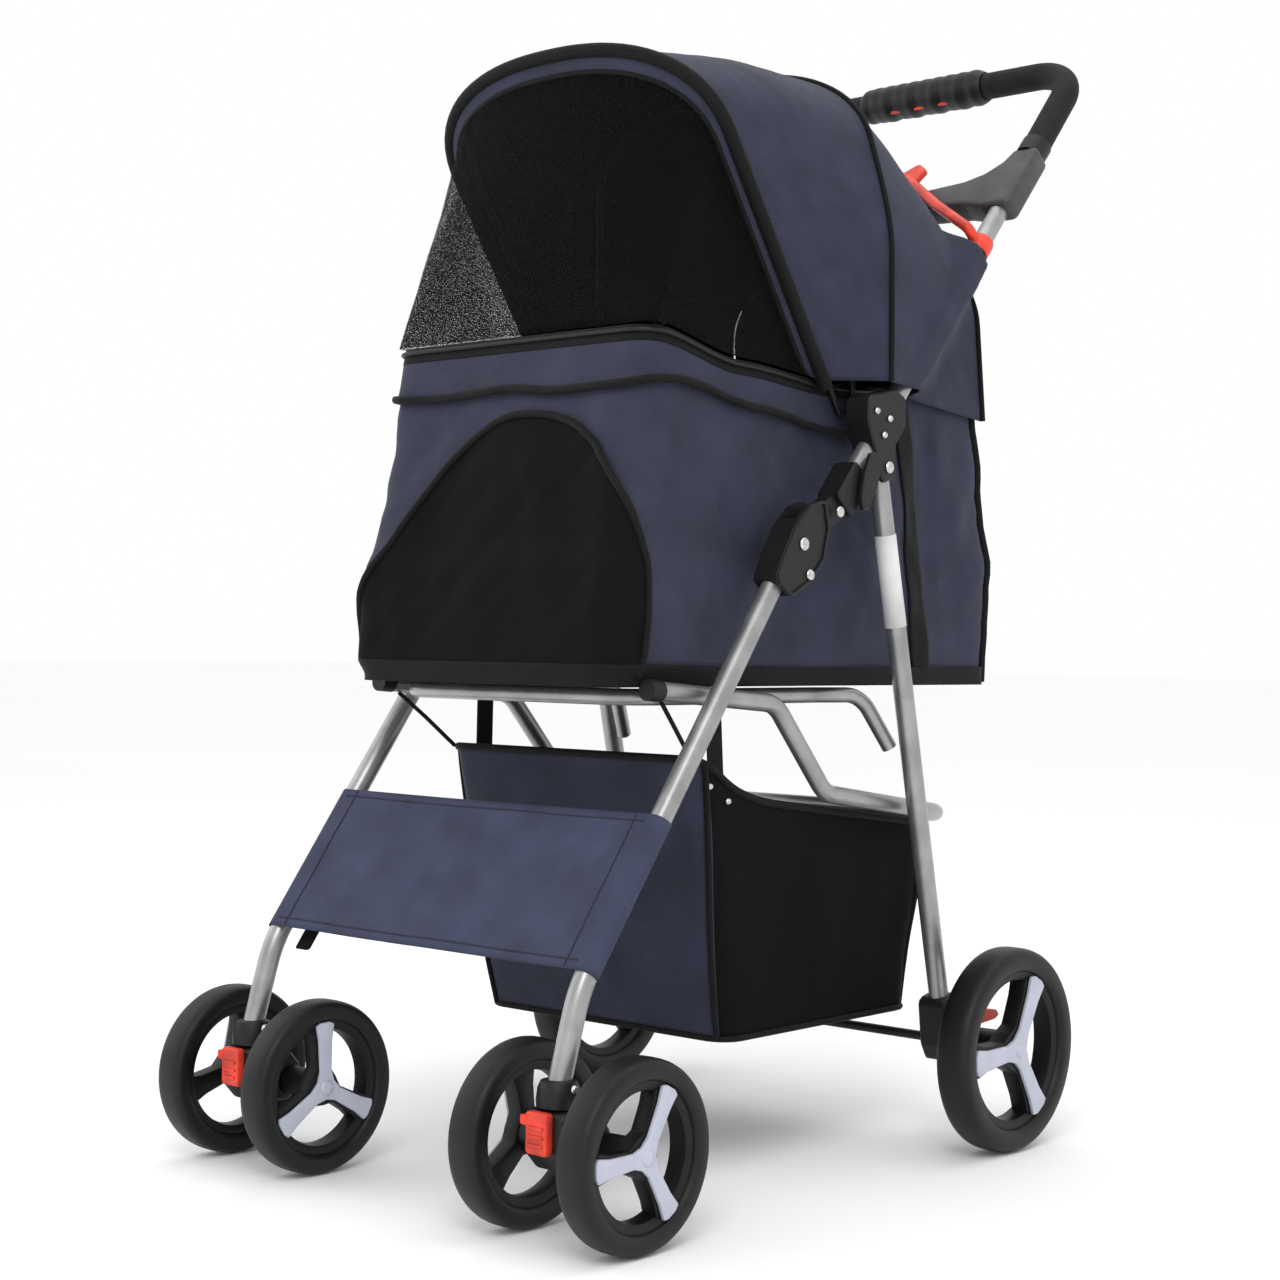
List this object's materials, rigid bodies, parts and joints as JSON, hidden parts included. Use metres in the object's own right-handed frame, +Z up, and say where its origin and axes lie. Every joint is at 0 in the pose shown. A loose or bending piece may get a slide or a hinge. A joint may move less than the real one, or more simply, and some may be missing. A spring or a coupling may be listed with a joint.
{
  "type": "pet stroller",
  "caption": "Folding four-wheel pet stroller with a fabric cabin, hooped canopy with a mesh front, swivelling twin front casters, a basket below and a loop handle.",
  "frame": {"origin": "on the floor, in the middle of the overall length and width", "axes": "+Z up; the front with the casters faces -Y and the handle is at +Y; +X is the side of the brake and hook seen on the right of a viewer who stands in front and left of it"},
  "size_m": [0.496, 0.7466, 0.9813],
  "materials": {
    "black_fabric": "black mesh and padding",
    "black_plastic": "matt",
    "foam": "matt foam",
    "grey_plastic": "satin",
    "navy_fabric": "woven navy",
    "red_plastic": "satin red",
    "rim_plastic": "satin",
    "rivet_steel": "bright",
    "tube_paint": "satin silver grey",
    "tyre": "matt"
  },
  "bodies": {
    "front_frame": {"left_front_leg": "tube_paint", "left_fold_bracket": "black_plastic", "left_fold_pin": "rivet_steel", "left_caster_socket": "black_plastic", "right_front_leg": "tube_paint", "right_fold_bracket": "black_plastic", "right_fold_pin": "rivet_steel", "right_caster_socket": "black_plastic", "front_cross_tube": "tube_paint", "front_banner": "navy_fabric"},
    "handle": {"left_handle_tube": "tube_paint", "left_hinge_arm": "black_plastic", "left_upper_bracket": "black_plastic", "left_grip": "foam", "right_handle_tube": "tube_paint", "right_hinge_arm": "black_plastic", "right_upper_bracket": "black_plastic", "right_grip": "foam", "handle_yoke": "grey_plastic", "grip_housing": "black_plastic", "rear_panel": "navy_fabric"},
    "rear_legs": {"left_rear_leg": "tube_paint", "left_brake_housing": "black_plastic", "right_rear_leg": "tube_paint", "right_brake_housing": "black_plastic", "rear_axle": "rivet_steel"},
    "basket_frame": {"basket_tube": "tube_paint", "basket": "navy_fabric"},
    "seat_frame": {"floor_frame": "tube_paint", "cabin": "navy_fabric", "cabin_pad": "black_fabric"},
    "canopy_front": {"front_canopy_hoop": "black_plastic", "front_canopy": "navy_fabric", "front_mesh_panel": "black_fabric"},
    "canopy_middle": {"rear_canopy_hoop": "black_plastic", "rear_canopy": "navy_fabric"},
    "caster_left": {"left_caster_yoke": "black_plastic", "left_caster_axle": "rivet_steel"},
    "lock_left": {"left_swivel_lock": "red_plastic"},
    "wheel_front_left_outer": {"left_front_outer_rim": "rim_plastic", "left_front_outer_tyre": "tyre"},
    "wheel_front_left_inner": {"left_front_inner_rim": "rim_plastic", "left_front_inner_tyre": "tyre"},
    "wheel_rear_left": {"left_rear_rim": "rim_plastic", "left_rear_tyre": "tyre"},
    "brake_left": {"left_brake_lever": "red_plastic"},
    "caster_right": {"right_caster_yoke": "black_plastic", "right_caster_axle": "rivet_steel"},
    "lock_right": {"right_swivel_lock": "red_plastic"},
    "wheel_front_right_outer": {"right_front_outer_rim": "rim_plastic", "right_front_outer_tyre": "tyre"},
    "wheel_front_right_inner": {"right_front_inner_rim": "rim_plastic", "right_front_inner_tyre": "tyre"},
    "wheel_rear_right": {"right_rear_rim": "rim_plastic", "right_rear_tyre": "tyre"},
    "brake_right": {"right_brake_lever": "red_plastic"},
    "trigger": {"release_trigger": "red_plastic"},
    "release_bar": {"release_bar": "red_plastic"},
    "hook": {"safety_hook": "black_plastic"}
  },
  "joints": [
    {"name": "fold", "type": "hinge", "parent": "front_frame", "child": "handle", "pos_m": [0, -0.06929, 0.503], "axis": [1, 0, 0], "range_deg": [-108, 0], "deforming": ["cabin", "basket", "rear_panel"]},
    {"name": "rear_legs_fold", "type": "hinge", "parent": "handle", "child": "rear_legs", "pos_m": [0, 0.04421, 0.571], "axis": [1, 0, 0], "range_deg": [0, 77.7]},
    {"name": "basket_frame_fold", "type": "hinge", "parent": "front_frame", "child": "basket_frame", "pos_m": [0, -0.16229, 0.385], "axis": [1, 0, 0], "range_deg": [-63.7, 0]},
    {"name": "seat_frame_fold", "type": "hinge", "parent": "front_frame", "child": "seat_frame", "pos_m": [0, -0.16229, 0.385], "axis": [1, 0, 0], "range_deg": [-64.4, 0]},
    {"name": "canopy_front_hinge", "type": "hinge", "parent": "handle", "child": "canopy_front", "pos_m": [0, 0.02571, 0.616], "axis": [1, 0, 0], "range_deg": [-56, 0], "deforming": ["front_canopy", "front_mesh_panel", "rear_canopy"]},
    {"name": "canopy_middle_hinge", "type": "hinge", "parent": "handle", "child": "canopy_middle", "pos_m": [0, 0.04371, 0.611], "axis": [1, 0, 0], "range_deg": [-28.5, 0]},
    {"name": "caster_left_swivel", "type": "hinge", "parent": "front_frame", "child": "caster_left", "pos_m": [0.169, -0.32729, 0.098], "axis": [0, 0, 1], "continuous": true},
    {"name": "lock_left_slide", "type": "slide", "parent": "caster_left", "child": "lock_left", "axis": [0, 0, 1], "range_m": [-0.006, 0]},
    {"name": "wheel_front_left_outer_spin", "type": "hinge", "parent": "caster_left", "child": "wheel_front_left_outer", "pos_m": [0.2215, -0.30479, 0.0685], "axis": [1, 0, 0], "continuous": true},
    {"name": "wheel_front_left_inner_spin", "type": "hinge", "parent": "caster_left", "child": "wheel_front_left_inner", "pos_m": [0.1165, -0.30479, 0.0685], "axis": [1, 0, 0], "continuous": true},
    {"name": "wheel_rear_left_spin", "type": "hinge", "parent": "rear_legs", "child": "wheel_rear_left", "pos_m": [0.232, 0.15471, 0.0855], "axis": [1, 0, 0], "continuous": true},
    {"name": "brake_left_lever", "type": "hinge", "parent": "rear_legs", "child": "brake_left", "pos_m": [0.187, 0.17071, 0.1035], "axis": [1, 0, 0], "range_deg": [-25, 0]},
    {"name": "caster_right_swivel", "type": "hinge", "parent": "front_frame", "child": "caster_right", "pos_m": [-0.169, -0.32729, 0.098], "axis": [0, 0, 1], "continuous": true},
    {"name": "lock_right_slide", "type": "slide", "parent": "caster_right", "child": "lock_right", "axis": [0, 0, 1], "range_m": [-0.006, 0]},
    {"name": "wheel_front_right_outer_spin", "type": "hinge", "parent": "caster_right", "child": "wheel_front_right_outer", "pos_m": [-0.2215, -0.30479, 0.0685], "axis": [1, 0, 0], "continuous": true},
    {"name": "wheel_front_right_inner_spin", "type": "hinge", "parent": "caster_right", "child": "wheel_front_right_inner", "pos_m": [-0.1165, -0.30479, 0.0685], "axis": [1, 0, 0], "continuous": true},
    {"name": "wheel_rear_right_spin", "type": "hinge", "parent": "rear_legs", "child": "wheel_rear_right", "pos_m": [-0.232, 0.15471, 0.0855], "axis": [1, 0, 0], "continuous": true},
    {"name": "brake_right_lever", "type": "hinge", "parent": "rear_legs", "child": "brake_right", "pos_m": [-0.187, 0.17071, 0.1035], "axis": [1, 0, 0], "range_deg": [-25, 0]},
    {"name": "release_trigger_squeeze", "type": "slide", "parent": "handle", "child": "trigger", "axis": [0, 0.6534, 0.757], "range_m": [0, 0.005], "stiffness_N_per_m": 400},
    {"name": "release_bar_slide", "type": "slide", "parent": "handle", "child": "release_bar", "axis": [0, 0.6534, 0.757], "range_m": [0, 0.014]},
    {"name": "safety_hook_hinge", "type": "hinge", "parent": "handle", "child": "hook", "pos_m": [0.184, 0.01549, 0.56994], "axis": [1, 0, 0], "range_deg": [0, 50]}
  ],
  "couplings": [
    {"joint": "rear_legs_fold", "follows": "fold", "ratio": -0.715},
    {"joint": "basket_frame_fold", "follows": "fold", "ratio": 0.585},
    {"joint": "seat_frame_fold", "follows": "fold", "ratio": 0.592},
    {"joint": "canopy_middle_hinge", "follows": "canopy_front_hinge", "ratio": 0.5}
  ]
}
